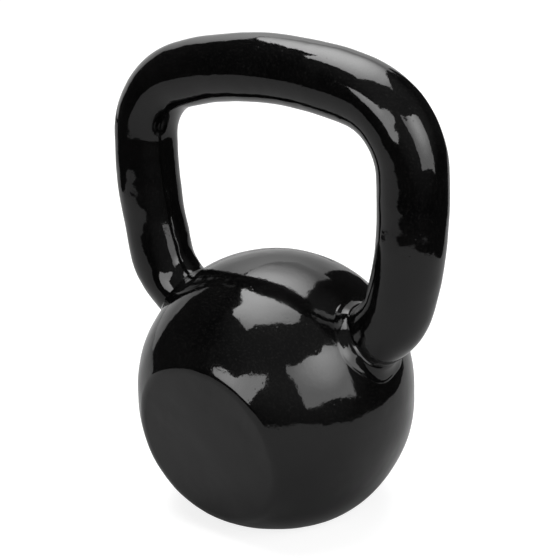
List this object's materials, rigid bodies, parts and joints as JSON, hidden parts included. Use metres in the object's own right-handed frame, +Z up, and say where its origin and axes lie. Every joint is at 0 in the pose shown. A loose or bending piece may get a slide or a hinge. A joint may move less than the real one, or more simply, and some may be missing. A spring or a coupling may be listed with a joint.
{
  "type": "kettlebell",
  "caption": "Ball-shaped iron weight, flattened front and back, with a wide D-shaped round-bar handle joined at both sides and a flat padded foot.",
  "frame": {"origin": "centre of the foot pad's lower face, on the surface that the kettlebell stands on", "axes": "+Z up through the ball and the middle of the handle; +X along the handle; -Y out of the front face"},
  "size_m": [0.1888, 0.1254, 0.2392],
  "materials": {
    "enamelled_iron": "gloss",
    "enamelled_steel": "gloss",
    "pad_rubber": "matte",
    "plug_steel": "satin",
    "seal_rubber": "matte",
    "packing_wood": "matte",
    "slug_steel": "satin"
  },
  "bodies": {
    "root": {"bell_body": "enamelled_iron", "handle_bar": "enamelled_steel", "left_horn_weld": "enamelled_steel", "right_horn_weld": "enamelled_steel", "base_pad": "pad_rubber", "filler_plug": "plug_steel", "seal_ring": "seal_rubber", "packing_block": "packing_wood", "ballast_slug": "slug_steel"}
  },
  "joints": []
}
